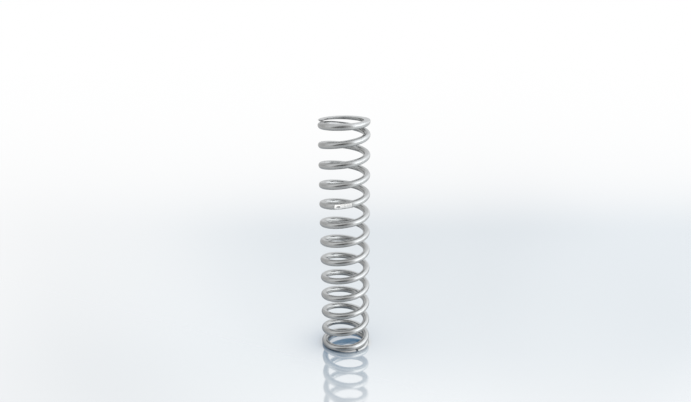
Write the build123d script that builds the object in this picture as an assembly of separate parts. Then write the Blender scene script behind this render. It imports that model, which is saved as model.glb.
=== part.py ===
from build123d import *
import math
import os

# A coilover compression spring: one round wire, coiled right-handed, with both ends closed and ground flat.
# The axis is Z, the lower ground face lies at z = 0 and the front is -Y.

# Driving sizes, in mm, degrees and turns
seat_bore = 63.5          # clear inside diameter, the 2.5 inch seat size
free_length = 406.4       # 16 inch, from ground face to ground face
wire = 11.2               # wire diameter
turns = 13.65             # from tip to tip
closed_turns = 0.8        # each end stays at the closed pitch this far
easing_turns = 0.45       # and then opens to the working pitch over this much
tip_share = 0.25          # tip thickness that the grinding leaves, as a share of the wire
tip_gap = 0.35            # air between a tip and the coil that lies over it
tip_angle = -57.0         # where the lower tip points, from +X towards +Y
easing_arcs = 4           # smooth arcs that draw the easing

# Sizes that follow
wire_radius = wire / 2
mean_radius = seat_bore / 2 + wire_radius
outside_diameter = seat_bore + 2 * wire
around = 2 * math.pi * mean_radius
first_height = (tip_share - 0.5) * wire
half_turns = turns / 2
stone_width = 2 * outside_diameter
stone_depth = 2 * wire


def opened(t):
    """How far the pitch has opened t turns from a tip, from 0, closed, to 1, working."""
    u = min(max((t - closed_turns) / easing_turns, 0), 1)
    return 3 * u ** 2 - 2 * u ** 3


def opened_so_far(t):
    """The same, summed over the turns up to t."""
    u = min(max((t - closed_turns) / easing_turns, 0), 1)
    beyond = max(t - closed_turns - easing_turns, 0)
    return (u ** 3 - u ** 4 / 2) * easing_turns + beyond


# Turn 1 lies over the tip with tip_gap to spare, and half the turns climb half the free length
pitch_step = (free_length / 2 - first_height - half_turns * (wire + tip_gap)) / (
    opened_so_far(half_turns) - half_turns * opened_so_far(1))
closed_pitch = wire + tip_gap - pitch_step * opened_so_far(1)
working_pitch = closed_pitch + pitch_step


def height(t):
    """Height of the wire's centre in the lower half, t turns from the tip."""
    return first_height + closed_pitch * t + pitch_step * opened_so_far(t)


def centre(t):
    """Centre of the wire there."""
    angle = math.radians(tip_angle + 360 * t)
    return Vector(mean_radius * math.cos(angle), mean_radius * math.sin(angle), height(t))


def heading(t):
    """How far the wire would run there in one whole turn, kept straight."""
    angle = math.radians(tip_angle + 360 * t)
    return Vector(-around * math.sin(angle), around * math.cos(angle), closed_pitch + pitch_step * opened(t))


def helix(start, end, pitch):
    """Centre line of an even stretch, from turn start to turn end."""
    lift = Pos(0, 0, height(start)) * Rot(0, 0, tip_angle + 360 * start)
    return lift * Helix(pitch, pitch * (end - start), mean_radius)


def easing():
    """Centre line of the stretch that opens the closed end to the working pitch, as arcs that join smoothly."""
    step = easing_turns / easing_arcs
    handle = 4 / 3 * math.tan(math.pi * step / 2) / (2 * math.pi)
    marks = [closed_turns + i * step for i in range(easing_arcs + 1)]
    return [
        Bezier(centre(start), centre(start) + heading(start) * handle,
               centre(end) - heading(end) * handle, centre(end))
        for start, end in zip(marks, marks[1:])
    ]


def half_line():
    """The wire's centre line from its lower tip to the middle of the spring."""
    closed = helix(0, closed_turns, closed_pitch)
    working = helix(closed_turns + easing_turns, half_turns, working_pitch)
    return Wire([closed, *easing(), working])


def half_wire():
    """The round wire along that line, its tip still square and full."""
    line = half_line()
    section = Plane(origin=line @ 0, z_dir=line % 0) * Circle(wire_radius)
    return sweep(section, path=line, is_frenet=True)


def ground_half():
    """The same with its end ground flat, square to the axis."""
    stone = Pos(0, 0, -stone_depth / 2) * Box(stone_width, stone_width, stone_depth)
    return half_wire() - stone


def spring():
    """The whole spring. It is the same either way up, so the upper half is the lower one turned over."""
    seam = math.radians(tip_angle + 360 * half_turns)
    level = Axis((0, 0, free_length / 2), (math.cos(seam), math.sin(seam), 0))
    lower = ground_half()
    return lower + lower.rotate(level, 180)


os.makedirs("parts", exist_ok=True)
body = spring()
body.label = "coil_spring"
export_step(body, "parts/coil_spring.step")

full_volume = 2 * half_line().length * math.pi * wire_radius ** 2
print(f"wire {wire}, inside {seat_bore}, outside {outside_diameter}, free length {free_length} mm")
print(f"closed pitch {closed_pitch:.3f} mm, working pitch {working_pitch:.3f} mm")
print(f"swept half {2 * half_wire().volume / 1000:.2f} cm3 doubled, section times length {full_volume / 1000:.2f} cm3")
print(f"spring {body.volume / 1000:.2f} cm3, valid {body.is_valid}, solids {len(body.solids())}")
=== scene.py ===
# %% [markdown]
# This scene dresses one coilover spring: a long steel compression spring in satin silver paint. The
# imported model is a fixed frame. Its box gives the free length and the outside diameter, and everything
# here is made in metres around it, with the spring's axis on Z and its lower ground face on the floor.

# %% Load the frame
import math
import bmesh
import bpy
from mathutils import Matrix, Vector


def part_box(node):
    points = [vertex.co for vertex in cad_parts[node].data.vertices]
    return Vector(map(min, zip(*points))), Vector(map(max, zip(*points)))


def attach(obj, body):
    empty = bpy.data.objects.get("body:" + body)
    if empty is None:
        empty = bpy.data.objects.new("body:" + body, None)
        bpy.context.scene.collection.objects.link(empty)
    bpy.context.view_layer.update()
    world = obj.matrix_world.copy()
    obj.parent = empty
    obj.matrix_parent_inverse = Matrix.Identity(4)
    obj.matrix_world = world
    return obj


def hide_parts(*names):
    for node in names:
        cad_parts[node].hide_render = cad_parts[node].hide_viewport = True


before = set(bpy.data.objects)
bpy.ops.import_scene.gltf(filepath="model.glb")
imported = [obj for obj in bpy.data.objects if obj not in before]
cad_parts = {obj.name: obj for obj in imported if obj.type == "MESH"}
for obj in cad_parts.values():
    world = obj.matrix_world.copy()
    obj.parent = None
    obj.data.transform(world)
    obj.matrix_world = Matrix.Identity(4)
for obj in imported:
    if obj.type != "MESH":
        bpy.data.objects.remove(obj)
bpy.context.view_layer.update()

# %% [markdown]
# A spring maker describes a coil by a few sizes: wire, outside diameter, free length, turns, and how the
# ends are closed and ground. The outside and the length come from the frame, and the rest are the maker's
# figures. TIP_SHARE is how much of the wire's thickness the grinding leaves at the tip, and TIP_GAP is the
# air between the tip and the turn that lies over it. Angles run from +X towards +Y, and turns are counted
# from the lower tip.

# %% The spring's sizes
FULL_TURN = 2 * math.pi
low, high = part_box("coil_spring")
free_length = high[2] - low[2]
outside_radius = max(abs(low[0]), abs(high[0]))

WIRE = 0.0112
TURNS = 13.65
CLOSED_TURNS = 0.8
EASING_TURNS = 0.45
TIP_SHARE = 0.25
TIP_GAP = 0.00035
TIP_ANGLE = math.radians(-57)

wire_radius = WIRE / 2
mean_radius = outside_radius - wire_radius
half_turns = TURNS / 2
first_height = (TIP_SHARE - 0.5) * WIRE
print(f"free length {free_length:.4f} m, outside radius {outside_radius:.5f} m,",
      f"mean radius {mean_radius:.5f} m")

# %% [markdown]
# The coil climbs slowly while an end is closed and quickly in the working turns. A real coiling machine
# moves its pitch tool smoothly from one to the other, so the height is a formula with a smooth step
# between the two pitches. The working pitch isn't chosen: it is what the free length leaves.

# %% Height of the wire along its turns
def eased(t):
    u = (t - CLOSED_TURNS) / EASING_TURNS
    if u <= 0:
        return 0.0
    if u >= 1:
        return (u - 0.5) * EASING_TURNS
    return (u ** 3 - u ** 4 / 2) * EASING_TURNS


working_share = (free_length / 2 - first_height - half_turns * (WIRE + TIP_GAP)) / (
    eased(half_turns) - half_turns * eased(1))
closed_pitch = WIRE + TIP_GAP - working_share * eased(1)
working_pitch = closed_pitch + working_share


def height(t):
    return first_height + closed_pitch * t + working_share * eased(t)


def lean(t, step=1e-4):
    climb = (height(t + step) - height(t - step)) / (2 * step)
    return math.atan2(climb, FULL_TURN * mean_radius)


print(f"closed pitch {closed_pitch * 1000:.2f} mm, working pitch {working_pitch * 1000:.2f} mm")

# %% [markdown]
# The wire is one circle that is spun around the axis. A spin with a lift at each step draws an even helix
# in one call, so the closed stretch and the working stretch are one spin each. The short easing between
# them is many small spins, and after each one the ring leans a little further, so that it stays square to
# the wire. Only the lower half is spun, because a spring with two like ends is the same when it is turned
# over.

# %% Spin the lower half of the wire
AROUND = 48
STEPS_PER_TURN = 96
MERGE_DISTANCE = 1e-6


def ring_edges(verts):
    wanted = set(verts)
    return [e for e in {e for v in verts for e in v.link_edges} if wanted.issuperset(e.verts)]


def spin_on(bm, edges, start, end, steps):
    made = bmesh.ops.spin(bm, geom=edges, cent=(0, 0, 0), axis=(0, 0, 1),
                          dvec=(0, 0, (height(end) - height(start)) / steps),
                          angle=FULL_TURN * (end - start), steps=steps, use_merge=False)
    verts = [g for g in made["geom_last"] if isinstance(g, bmesh.types.BMVert)]
    return verts, ring_edges(verts)


def spin_half(bm):
    ring = bmesh.ops.create_circle(bm, radius=wire_radius, segments=AROUND)["verts"]
    place = (Matrix.Rotation(TIP_ANGLE, 4, "Z") @ Matrix.Translation((mean_radius, 0, height(0)))
             @ Matrix.Rotation(FULL_TURN / 4 + lean(0), 4, "X"))
    bmesh.ops.transform(bm, matrix=place, verts=ring)
    verts, edges = spin_on(bm, ring_edges(ring), 0, CLOSED_TURNS, round(CLOSED_TURNS * STEPS_PER_TURN))
    count = round(EASING_TURNS * STEPS_PER_TURN)
    stations = [CLOSED_TURNS + EASING_TURNS * i / count for i in range(count + 1)]
    for start, end in zip(stations, stations[1:]):
        verts, edges = spin_on(bm, edges, start, end, 1)
        angle = TIP_ANGLE + FULL_TURN * end
        out = Vector((math.cos(angle), math.sin(angle), 0))
        turn = Matrix.Rotation(lean(end) - lean(start), 3, out)
        middle = out * mean_radius + Vector((0, 0, height(end)))
        bmesh.ops.rotate(bm, verts=verts, cent=middle, matrix=turn)
    working = half_turns - CLOSED_TURNS - EASING_TURNS
    spin_on(bm, edges, stations[-1], half_turns, round(working * STEPS_PER_TURN))
    bmesh.ops.remove_doubles(bm, verts=bm.verts, dist=MERGE_DISTANCE)


coil = bmesh.new()
spin_half(coil)
print(f"half a coil: {len(coil.verts)} points, {len(coil.faces)} faces")

# %% [markdown]
# The tip is capped, and then the end is ground: a plane cuts away what lies below the floor, and the cut
# is closed with one flat face. On the real spring a grinding wheel does exactly this. A boolean with a
# block would also do it, but the plane leaves clean edges. The wire's own faces keep finish 0, the paint,
# and the flat faces get the numbers of their own finishes.

# %% Cap the tip and grind the end
GROUND, CROPPED = 1, 2
EDGE_BREAK = 0.0002


def grind(bm):
    tip = Vector((math.cos(TIP_ANGLE), math.sin(TIP_ANGLE), 0)) * mean_radius
    near_tip = [e for e in bm.edges if e.is_boundary and (e.verts[0].co - tip).length < WIRE]
    for face in bmesh.ops.holes_fill(bm, edges=near_tip, sides=0)["faces"]:
        face.material_index = CROPPED
    end_faces = [f for f in bm.faces if f.calc_center_median().z < 2 * WIRE]
    end_edges = {e for f in end_faces for e in f.edges}
    end_verts = {v for f in end_faces for v in f.verts}
    parts = end_faces + list(end_edges) + list(end_verts)
    cut = bmesh.ops.bisect_plane(bm, geom=parts, dist=MERGE_DISTANCE, plane_co=(0, 0, 0),
                                 plane_no=(0, 0, -1), clear_outer=True)["geom_cut"]
    rim = [g for g in cut if isinstance(g, bmesh.types.BMEdge) and g.is_boundary]
    flat = bmesh.ops.holes_fill(bm, edges=rim, sides=0)["faces"]
    for face in flat:
        face.material_index = GROUND
    return flat


def soften_edges(bm, flat):
    rim = [e for face in flat for e in face.edges]
    bmesh.ops.bevel(bm, geom=rim, affect="EDGES", offset=EDGE_BREAK, segments=2, profile=0.5,
                    material=-1, clamp_overlap=False)


flat = grind(coil)
print(f"ground face: {sum(f.calc_area() for f in flat) * 1e6:.0f} square mm")
soften_edges(coil, flat)
print(f"after the edge break: {len(coil.faces)} faces, open edges {sum(e.is_boundary for e in coil.edges)}")

# %% [markdown]
# The upper half could be spun and ground as well, but both ends of such a spring are made alike, so it is a
# copy of the lower one, turned over about the level line that runs through the middle of the wire at half
# height. The two rings at the seam then fall on each other and are merged.

# %% Turn a copy over for the upper half
SEAM_DISTANCE = 1e-5


def add_upper_half(bm):
    seam = TIP_ANGLE + FULL_TURN * half_turns
    level = Vector((math.cos(seam), math.sin(seam), 0))
    copy = bmesh.ops.duplicate(bm, geom=bm.verts[:] + bm.edges[:] + bm.faces[:])["geom"]
    verts = [g for g in copy if isinstance(g, bmesh.types.BMVert)]
    turned = Matrix.Rotation(math.pi, 3, level)
    bmesh.ops.rotate(bm, verts=verts, cent=(0, 0, free_length / 2), matrix=turned)
    seam_verts = [v for v in bm.verts if v.is_boundary]
    bmesh.ops.remove_doubles(bm, verts=seam_verts, dist=SEAM_DISTANCE)
    bmesh.ops.recalc_face_normals(bm, faces=bm.faces)
    if bm.calc_volume(signed=True) < 0:
        bmesh.ops.reverse_faces(bm, faces=bm.faces)


add_upper_half(coil)
print(f"whole coil: {len(coil.faces)} faces, {coil.calc_volume(signed=True) * 1e6:.1f} cm3,",
      f"open edges {sum(e.is_boundary for e in coil.edges)}")

# %% [markdown]
# Drawn wire is round and even, so its narrow faces are shaded as one smooth surface. The ground and
# cropped faces are flat and meet the wire at a crisp edge. Shading that ran over such an edge would look
# like a dent, so the edges beside a many-sided flat face are marked sharp.

# %% Shade the wire round and the flat faces crisp
SHARP = math.radians(35)
FLAT_CORNERS = 6
for face in coil.faces:
    face.smooth = True
for edge in coil.edges:
    beside_flat = any(len(face.verts) >= FLAT_CORNERS for face in edge.link_faces)
    edge.smooth = not beside_flat and edge.calc_face_angle(0.0) < SHARP
print("sharp edges", sum(not edge.smooth for edge in coil.edges))

# %% [markdown]
# Shader sums could be laid out node by node, but they are easier to read as ordinary arithmetic. The class
# below wraps a number socket, so that an expression such as (1 - mask) * 2 adds its own Math nodes.

# %% Numbers that add their own Math nodes
class Number:
    def __init__(self, graph, socket):
        self.graph, self.socket = graph, socket

    def __add__(self, other):
        return self.graph.math("ADD", self, other)

    def __radd__(self, other):
        return self.graph.math("ADD", other, self)

    def __sub__(self, other):
        return self.graph.math("SUBTRACT", self, other)

    def __rsub__(self, other):
        return self.graph.math("SUBTRACT", other, self)

    def __mul__(self, other):
        return self.graph.math("MULTIPLY", self, other)

    def __rmul__(self, other):
        return self.graph.math("MULTIPLY", other, self)

    def __truediv__(self, other):
        return self.graph.math("DIVIDE", self, other)

    def __rtruediv__(self, other):
        return self.graph.math("DIVIDE", other, self)


# %% [markdown]
# Every other node comes from one method, which takes the node's type, its settings and what goes into its
# sockets. The short methods after it name the few nodes that these finishes use again and again.

# %% A material's or the room's tree of nodes
class Graph:
    def __init__(self, owner):
        owner.use_nodes = True
        self.owner = owner
        self.tree = owner.node_tree
        self.shader = self.tree.nodes.get("Principled BSDF")
        self.coordinates = self.node("ShaderNodeTexCoord").outputs

    def node(self, kind, settings=(), inputs=()):
        node = self.tree.nodes.new(kind)
        for name, value in dict(settings).items():
            setattr(node, name, value)
        for name, value in dict(inputs).items():
            self.give(node.inputs[name], value)
        return node

    def give(self, socket, value):
        value = value.socket if isinstance(value, Number) else value
        if isinstance(value, bpy.types.NodeSocket):
            self.tree.links.new(value, socket)
        else:
            socket.default_value = value

    def set(self, **values):
        for name, value in values.items():
            self.give(self.shader.inputs[name.replace("_", " ")], value)

    def math(self, operation, *inputs):
        made = self.node("ShaderNodeMath", {"operation": operation}, enumerate(inputs))
        return Number(self, made.outputs[0])

    def noise(self, scale, detail=2.0, where=None):
        where = where or self.coordinates["Object"]
        made = self.node("ShaderNodeTexNoise", {}, {"Vector": where, "Scale": scale, "Detail": detail})
        return Number(self, made.outputs["Fac"])

    def range(self, number, from_min, from_max):
        made = self.node("ShaderNodeMapRange", {"interpolation_type": "SMOOTHSTEP"},
                         {"Value": number, "From Min": from_min, "From Max": from_max})
        return Number(self, made.outputs[0])

    def mix(self, factor, first, second):
        made = self.node("ShaderNodeMix", {"data_type": "RGBA"}, {0: factor, 6: first, 7: second})
        return made.outputs[2]

    def layers(self, factor, first, second=None):
        made = self.node("ShaderNodeMixShader", {}, {0: factor, 1: first.outputs[0]})
        if second:
            self.give(made.inputs[2], second.outputs[0])
        return made

    def bump(self, relief, strength, distance, normal=None):
        made = self.node("ShaderNodeBump", {},
                         {"Height": relief, "Strength": strength, "Distance": distance})
        if normal:
            self.give(made.inputs["Normal"], normal)
        return made.outputs["Normal"]

    def vector(self, x, y, z):
        return self.node("ShaderNodeCombineXYZ", {}, {0: x, 1: y, 2: z}).outputs[0]

    def place(self):
        parts = self.node("ShaderNodeSeparateXYZ", {}, {0: self.coordinates["Object"]}).outputs
        return [Number(self, part) for part in parts]


# %% [markdown]
# The wire is coated with silver paint: fine metal flakes in a clear binder. It is made as a metal of
# middling roughness whose grey drifts softly, with flakes that shift its shine from grain to grain and
# the faint orange peel of a sprayed coat. A plain grey would look like plastic, and polished metal would
# mirror too sharply.

# %% Flaked silver
SILVER_DARK = (0.428, 0.432, 0.428, 1)
SILVER_LIGHT = (0.464, 0.468, 0.464, 1)
FLAKE_LIGHT = (0.567, 0.571, 0.567, 1)
CLOUD_SCALE, FLAKE_SCALE, PEEL_SCALE = 30, 2800, 520
CLOUD_EDGES, FLAKE_EDGES = (0.3, 0.7), (0.35, 0.7)
SMOOTHEST, FLAKE_DULLNESS = 0.19, 0.06
FLAKE_RELIEF, PEEL_STRENGTH, PEEL_DEPTH = 0.5, 0.09, 0.0002


def flaked_silver(g):
    cloud = g.noise(CLOUD_SCALE, detail=3.0)
    flake = g.noise(FLAKE_SCALE, detail=1.0)
    peel = g.noise(PEEL_SCALE)
    coat = g.mix(g.range(cloud, *CLOUD_EDGES), SILVER_DARK, SILVER_LIGHT)
    tone = g.mix(g.range(flake, *FLAKE_EDGES), coat, FLAKE_LIGHT)
    rough = SMOOTHEST + flake * FLAKE_DULLNESS
    return tone, rough, g.bump(peel + flake * FLAKE_RELIEF, PEEL_STRENGTH, PEEL_DEPTH)


print(f"flakes about {1000 / FLAKE_SCALE:.2f} mm across, orange peel about {1000 / PEEL_SCALE:.1f} mm")

# %% [markdown]
# One turn carries a small printed stripe: a plain white bar that follows the wire's climb, with a short
# bare window near its start and ink that is worn thin towards its other end. A thin strip of mesh could
# stand for it, but ink has no thickness to speak of. So it is a mask, found from the angle around the
# axis and from the height, and it needs no image.

# %% The printed stripe
STRIPE_START = math.radians(-112.7)
STRIPE_LENGTH = math.radians(38.7) * outside_radius
WHOLE_TURNS_BELOW = 9
STRIPE_TURN = WHOLE_TURNS_BELOW + (STRIPE_START - TIP_ANGLE) / FULL_TURN
STRIPE_HEIGHT = free_length - height(TURNS - STRIPE_TURN)
STRIPE_BOTTOM, STRIPE_TOP = -0.0040, 0.0034
BARE_START, BARE_END, BARE_HALF = 0.0036, 0.0100, 0.0012
END_BLUR, BARE_BLUR, SIDE_BLUR, OUTER_BLUR = 0.0003, 0.0004, 0.0002, 0.0004
WEAR_SCALE, WEAR_PER_METRE, WEAR_EDGES, WEAR_SHARE = 900, 10.0, (0.51, 0.67), 0.5


def within(g, number, start, end, blur):
    begun = g.range(number, start - blur, start + blur)
    ended = g.range(number, end - blur, end + blur)
    return begun * (1 - ended)


def printed_stripe(g):
    x, y, z = g.place()
    around = g.math("ARCTAN2", y, x) - STRIPE_START
    along = around * outside_radius
    across = z - around * (working_pitch / FULL_TURN) - STRIPE_HEIGHT
    from_axis = g.math("SQRT", x * x + y * y)
    outer = g.range(from_axis, mean_radius, mean_radius + OUTER_BLUR)
    worn = g.range(g.noise(WEAR_SCALE, detail=3.0) + along * WEAR_PER_METRE, *WEAR_EDGES)
    body = within(g, along, 0.0, STRIPE_LENGTH, END_BLUR)
    body = body * within(g, across, STRIPE_BOTTOM, STRIPE_TOP, SIDE_BLUR)
    bare = within(g, along, BARE_START, BARE_END, BARE_BLUR)
    bare = bare * within(g, across, -BARE_HALF, BARE_HALF, SIDE_BLUR)
    return body * outer * (1 - bare) * (1 - worn * WEAR_SHARE)


print(f"stripe {STRIPE_LENGTH * 1000:.1f} mm long at a height of {STRIPE_HEIGHT * 1000:.0f} mm")

# %% [markdown]
# The paint and the stripe make one finish. Ink isn't metal, so the stripe's mask takes the metal away,
# dulls the shine and lifts the surface by a thin film. One finish with a mask keeps the wire in one
# piece, where a second material would need faces cut along the stripe's edge.

# %% Silver paint with the stripe
INK_WHITE = (0.84, 0.84, 0.83, 1)
INK_DULLNESS, INK_STRENGTH, INK_DEPTH = 0.25, 0.4, 0.00005
GRAZING_TINT = (0.89, 0.89, 0.89, 1)


def silver_paint():
    g = Graph(bpy.data.materials.new("silver_paint"))
    tone, rough, skin = flaked_silver(g)
    ink = printed_stripe(g)
    g.set(Base_Color=g.mix(ink, tone, INK_WHITE), Metallic=1 - ink, Roughness=rough + ink * INK_DULLNESS,
          Specular_Tint=GRAZING_TINT, Normal=g.bump(ink, INK_STRENGTH, INK_DEPTH, skin))
    return g.owner


wire_finish = silver_paint()
print(wire_finish.name, len(wire_finish.node_tree.nodes), "nodes")

# %% [markdown]
# The ends are ground flat on the side of a wheel before the spring is sprayed, so fine straight marks
# show through the same paint. A wave texture would draw them too evenly, so noise is stretched along one
# direction: it changes fast across the marks and slowly along them.

# %% Paint on the ground ends
GROUND_MARK = (0.38, 0.385, 0.385, 1)
MARKS_ACROSS, MARKS_ALONG = (2600.0, 900.0), (-25.0, 60.0)
MARK_EDGES, MARK_SHARE = (0.4, 0.65), 0.6
MARK_DULLNESS, MARK_STRENGTH, MARK_DEPTH = 0.12, 0.5, 0.0001


def ground_paint():
    g = Graph(bpy.data.materials.new("ground_end_paint"))
    tone, rough, skin = flaked_silver(g)
    x, y, z = g.place()
    across, along = (x * scale_x + y * scale_y for scale_x, scale_y in (MARKS_ACROSS, MARKS_ALONG))
    marks = g.noise(1.0, where=g.vector(across, along, z))
    marked = g.mix(g.range(marks, *MARK_EDGES) * MARK_SHARE, tone, GROUND_MARK)
    g.set(Base_Color=marked, Metallic=1.0, Roughness=rough + marks * MARK_DULLNESS,
          Normal=g.bump(marks, MARK_STRENGTH, MARK_DEPTH, skin))
    return g.owner


end_finish = ground_paint()
print(end_finish.name, len(end_finish.node_tree.nodes), "nodes")

# %% [markdown]
# A shear crops the wire after the last turn and leaves a torn face. The upper one took its coat, so it is
# pale. The lower one lies in the gap under the turn above, and its dark tone is painted shade for that gap.
# Two materials could say so, but one is enough: a rough metal with a coarse grain, whose tone changes with
# height alone.

# %% Cropped end
# The lower end's grain is dark: painted shade for the gap under the turn above.
SHADED_TORN_DARK = (0.16, 0.165, 0.17, 1)
SHADED_TORN_LIGHT = (0.34, 0.345, 0.35, 1)
COATED_DARK = (0.62, 0.63, 0.63, 1)
COATED_LIGHT = (0.80, 0.81, 0.81, 1)
SHADE_FADE_FROM, SHADE_FADE_TO = 0.3 * free_length, 0.7 * free_length
TEAR_SCALE, TEAR_EDGES = 700, (0.35, 0.65)
TEAR_SMOOTHEST, TEAR_DULLNESS, TEAR_STRENGTH, TEAR_DEPTH = 0.3, 0.25, 0.6, 0.0004


def cropped_end_paint_and_shade():
    g = Graph(bpy.data.materials.new("cropped_end_paint_and_shade"))
    z = g.place()[2]
    tear = g.noise(TEAR_SCALE, detail=4.0)
    grain = g.range(tear, *TEAR_EDGES)
    # Painted shade: dark at the lower end, fading out with height towards the pale upper end.
    out_of_painted_shade = g.range(z, SHADE_FADE_FROM, SHADE_FADE_TO)
    tone = g.mix(out_of_painted_shade, g.mix(grain, SHADED_TORN_DARK, SHADED_TORN_LIGHT), g.mix(grain, COATED_DARK, COATED_LIGHT))
    g.set(Base_Color=tone, Metallic=1.0, Roughness=TEAR_SMOOTHEST + tear * TEAR_DULLNESS,
          Normal=g.bump(tear, TEAR_STRENGTH, TEAR_DEPTH))
    return g.owner


tip_finish = cropped_end_paint_and_shade()
print(tip_finish.name, len(tip_finish.node_tree.nodes), "nodes")

# %% [markdown]
# The finished mesh becomes one object at the origin. It stands for the CAD spring, which stays hidden and
# goes on serving the collision model. The three finishes follow the numbers that the faces were given.

# %% Make the spring object
def finished(bm, name, materials):
    mesh = bpy.data.meshes.new(name)
    bm.to_mesh(mesh)
    bm.free()
    for material in materials:
        mesh.materials.append(material)
    piece = bpy.data.objects.new(name, mesh)
    bpy.context.scene.collection.objects.link(piece)
    return piece


spring = finished(coil, "coil_spring_wire", [wire_finish, end_finish, tip_finish])
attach(spring, "root")
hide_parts("coil_spring")
print("spring", len(spring.data.polygons), "faces")

# %% [markdown]
# The studio table is a pale glossy sheet. A little over half of the light that leaves it is the mirror
# image, and the rest is soft paint, with painted shade that makes it darker further off and on the right.
# Close to the spring the paint darkens in painted shade, most of all on the left, away from the bright side
# of the studio. A shadow from one hard lamp would have an outline, so that shade comes from how much of the
# nearby space is blocked. A part of the paint's light is a cool glow of its own, painted light that ends
# only right against the wire, so the shade is blue and not black.

# %% Table paint and its shade
BLACK, WHITE = (0, 0, 0, 1), (1, 1, 1, 1)
TABLE_PAINT = (0.37, 0.36, 0.335, 1)
# Painted shade: the table's paint is darker further off and on the right.
TABLE_PAINT_SHADED_FAR = (0.25, 0.245, 0.228, 1)
TABLE_SHADE = (0.0, 0.01, 0.03, 1)
# Painted light: a cool glow of the table's own, standing for light that bounces between table and studio.
TABLE_GLOW = (0.0, 0.155, 0.345, 1)
TABLE_MIRROR = (1.0, 0.94, 0.865, 1)
MIRROR_SHARE, MIRROR_ROUGHNESS = 0.53, 0.05
PAINT_ROUGHNESS = 0.9
SHADE_REACH, CONTACT_REACH = 0.08, 0.012
LIT_FROM, LIT_EDGES = (0.85, -0.15, 0.5), (0.25, 1.0)
SHADE_SAMPLES = 6
BACK_SLANT, BACK_EDGES, BACK_SHARE = 0.5, (-0.2, 0.45), 0.46
RIGHT_EDGES, RIGHT_SHARE = (0.3, 0.7), 0.54


def open_space(g, reach, towards=None):
    made = g.node("ShaderNodeAmbientOcclusion", {"samples": SHADE_SAMPLES}, {"Distance": reach})
    if towards:
        g.give(made.inputs["Normal"], g.vector(*towards))
    return Number(g, made.outputs["AO"])


def table_sheet(g, x, y):
    back = g.range(x * BACK_SLANT + y, *BACK_EDGES) * BACK_SHARE
    right = g.range(x, *RIGHT_EDGES) * RIGHT_SHARE
    paint = g.mix(back + right, TABLE_PAINT, TABLE_PAINT_SHADED_FAR)
    lit = g.range(open_space(g, SHADE_REACH, LIT_FROM), *LIT_EDGES)
    clear = open_space(g, CONTACT_REACH)
    g.set(Base_Color=g.mix(lit, TABLE_SHADE, paint), Roughness=PAINT_ROUGHNESS, Specular_IOR_Level=0.0,
          Emission_Color=g.mix(clear, BLACK, TABLE_GLOW), Emission_Strength=1.0)
    gloss = g.node("ShaderNodeBsdfAnisotropic", {}, {"Color": TABLE_MIRROR, "Roughness": MIRROR_ROUGHNESS})
    return g.layers(MIRROR_SHARE, g.shader, gloss)


# %% [markdown]
# No horizon shows, because the table turns to plain white further off on every side. Each fade has the
# distance where it starts and a softness, and its white grows with the square of the distance past that
# line, so that no line can be seen. A dark card lies beside the spring on the left, out of sight: it is
# made by dimming the table there for reflections alone, and it gives the undersides of the wire their
# darker edge.

# %% Table
TABLE_RADIUS, TABLE_CORNERS = 6, 64
FADES = {"behind": (0.55, 0.12), "left": (0.1, 0.22), "right": (1.0, 0.30), "front": (0.0, 0.14),
         "far front": (0.6, 0.25)}
FRONT_WHITE = 0.33
CARD_SHADE, CARD_EDGES = 0.22, (0.0, 0.45)


def studio_table():
    bm = bmesh.new()
    bmesh.ops.create_circle(bm, cap_ends=True, radius=TABLE_RADIUS, segments=TABLE_CORNERS)
    g = Graph(bpy.data.materials.new("pale_table"))
    x, y = g.place()[:2]

    def past(side, distance):
        start, softness = FADES[side]
        out = g.math("MAXIMUM", distance - start, 0.0)
        return out * out / softness

    sides = past("left", 0.0 - x) + past("right", x)
    front = g.math("MINIMUM", past("front", 0.0 - y), FRONT_WHITE) + past("far front", 0.0 - y)
    away = past("behind", y) + sides + front
    white = g.node("ShaderNodeEmission", {}, {"Color": WHITE, "Strength": 1.0})
    sheet = g.layers(away / (away + 1.0), table_sheet(g, x, y), white)
    mirrored = Number(g, g.node("ShaderNodeLightPath").outputs["Is Glossy Ray"])
    carded = g.layers(mirrored * (1 - g.range(x, *CARD_EDGES)) * CARD_SHADE, sheet)
    g.give(g.tree.nodes["Material Output"].inputs["Surface"], carded.outputs[0])
    return finished(bm, "studio_table", [g.owner])


studio_table()
print("table fades to white", ", ".join(FADES))

# %% [markdown]
# Shiny metal shows the studio more than it shows itself, so the light is drawn as the room around the
# spring: an even pale room, large bright panels low on the right, softer ones behind, above and on the
# left, and a dark side at the front, where the camera stood. Each panel has an azimuth and an elevation,
# the angle from its middle up to which it is full, the angle where it ends, and how much light it adds to
# the room. The brighter the light, the cooler it is, by a trace. The camera itself sees plain white
# beyond the table.

# %% Studio room
ROOM, DARKEST = 0.62, 0.02
COOL_SHARE = 0.04
PANELS = {
    "key, right": (-20, 24, 17, 44, 0.77),
    "key, low": (-28, -7, 5, 32, 1.48),
    "right front": (-51, 39, 2, 41, 0.46),
    "right back": (27, 2, 11, 53, 0.88),
    "right, high": (38, 50, 5, 36, 0.20),
    "back": (110, 36, 30, 52, 0.11),
    "backdrop": (88, 17, 16, 30, 0.25),
    "overhead": (73, 74, 14, 43, 0.44),
    "left": (215, 29, 2, 53, 0.39),
    "dark, low front": (246, -7, 20, 44, -0.76),
    "dark, front": (268, 17, 27, 49, -0.28),
}


def direction(azimuth, elevation):
    a, e = math.radians(azimuth), math.radians(elevation)
    return (math.cos(a) * math.cos(e), math.sin(a) * math.cos(e), math.sin(e))


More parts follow.
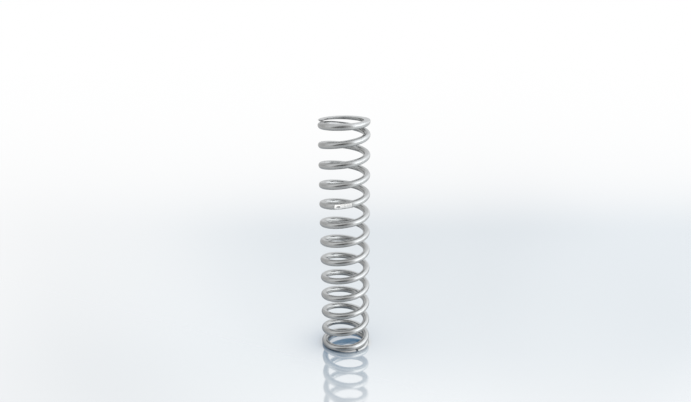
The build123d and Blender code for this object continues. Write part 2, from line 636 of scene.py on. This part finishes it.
def studio_room():
    g = Graph(bpy.data.worlds.new("studio_room"))
    way = g.coordinates["Generated"]
    light = ROOM
    for azimuth, elevation, inner, outer, amount in PANELS.values():
        middle = direction(azimuth, elevation)
        dot = g.node("ShaderNodeVectorMath", {"operation": "DOT_PRODUCT"}, {0: way, 1: middle})
        facing = Number(g, dot.outputs["Value"])
        near = g.range(facing, math.cos(math.radians(outer)), math.cos(math.radians(inner)))
        light = light + near * amount
    light = g.math("MAXIMUM", light, DARKEST)
    cool = g.math("MAXIMUM", light - ROOM, 0.0) * COOL_SHARE
    seen = g.node("ShaderNodeLightPath").outputs["Is Camera Ray"]
    tinted = g.vector(light - cool, light, light + cool)
    g.give(g.tree.nodes["Background"].inputs["Color"], g.mix(seen, tinted, WHITE))
    return g.owner


bpy.context.scene.world = studio_room()
bpy.context.scene.view_settings.view_transform = "Standard"
print(len(PANELS), "panels")

# %% [markdown]
# Two round soft boxes add the light that the table's paint needs: a warm one high above on the left, and a
# plain one at the front. Reflections leave them out, because the panels already draw the bright shapes
# there.

# %% Soft boxes
LAMP_DISTANCE = 3.0
LAMPS = {
    "key_soft_box": (200, 74, 2.4, 70, (1.0, 0.95, 0.88)),
    "front_fill": (-95, 35, 2.4, 40, (1.0, 1.0, 1.0)),
}


def soft_box(name, azimuth, elevation, size, power, colour):
    lamp = bpy.data.lights.new(name, "AREA")
    lamp.shape = "DISK"
    lamp.size = size
    lamp.energy = power
    lamp.color = colour
    box = bpy.data.objects.new(name, lamp)
    away = Vector(direction(azimuth, elevation))
    box.location = away * LAMP_DISTANCE
    box.rotation_euler = away.to_track_quat("Z", "Y").to_euler()
    box.visible_glossy = False
    box.visible_camera = False
    bpy.context.scene.collection.objects.link(box)


for name, setting in LAMPS.items():
    soft_box(name, *setting)
print("lamps", ", ".join(LAMPS))

# %% [markdown]
# The camera stands in front of the spring, a metre away and a little over half a metre up, and looks
# down. Its place, angles and focal length were worked out from the spring's own outline: the widths of
# the rings give the distance, and how open their ellipses are gives the height. The photograph was cut
# from a taller frame, so its optical centre lies below the middle.

# %% Camera
CAMERA_DISTANCE = 1.0124
CAMERA_HEIGHT = 0.5744
CAMERA_DOWN = math.radians(20.5625)
CAMERA_YAW = math.radians(0.0593)
CAMERA_ROLL = math.radians(-0.3752)
FOCAL_PIXELS = 623.51
FRAME_WIDTH = 691
CENTRE_BELOW_MIDDLE = 41.5
SENSOR_WIDTH = 36


def look_from_front():
    lens = bpy.data.cameras.new("front_camera")
    lens.sensor_width = SENSOR_WIDTH
    lens.lens = SENSOR_WIDTH * FOCAL_PIXELS / FRAME_WIDTH
    lens.shift_y = CENTRE_BELOW_MIDDLE / FRAME_WIDTH
    camera = bpy.data.objects.new("front_camera", lens)
    level = Vector((math.sin(CAMERA_YAW), math.cos(CAMERA_YAW), 0))
    ahead = level * math.cos(CAMERA_DOWN) - Vector((0, 0, math.sin(CAMERA_DOWN)))
    right = Vector((math.cos(CAMERA_YAW), -math.sin(CAMERA_YAW), 0))
    up = right.cross(ahead)
    side = right * math.cos(CAMERA_ROLL) + up * math.sin(CAMERA_ROLL)
    top = up * math.cos(CAMERA_ROLL) - right * math.sin(CAMERA_ROLL)
    turn = Matrix((side, top, -ahead)).transposed().to_4x4()
    camera.matrix_world = Matrix.Translation((0, -CAMERA_DISTANCE, CAMERA_HEIGHT)) @ turn
    bpy.context.scene.collection.objects.link(camera)
    bpy.context.scene.camera = camera
    return lens


print(f"camera with a lens of {look_from_front().lens:.1f} mm")
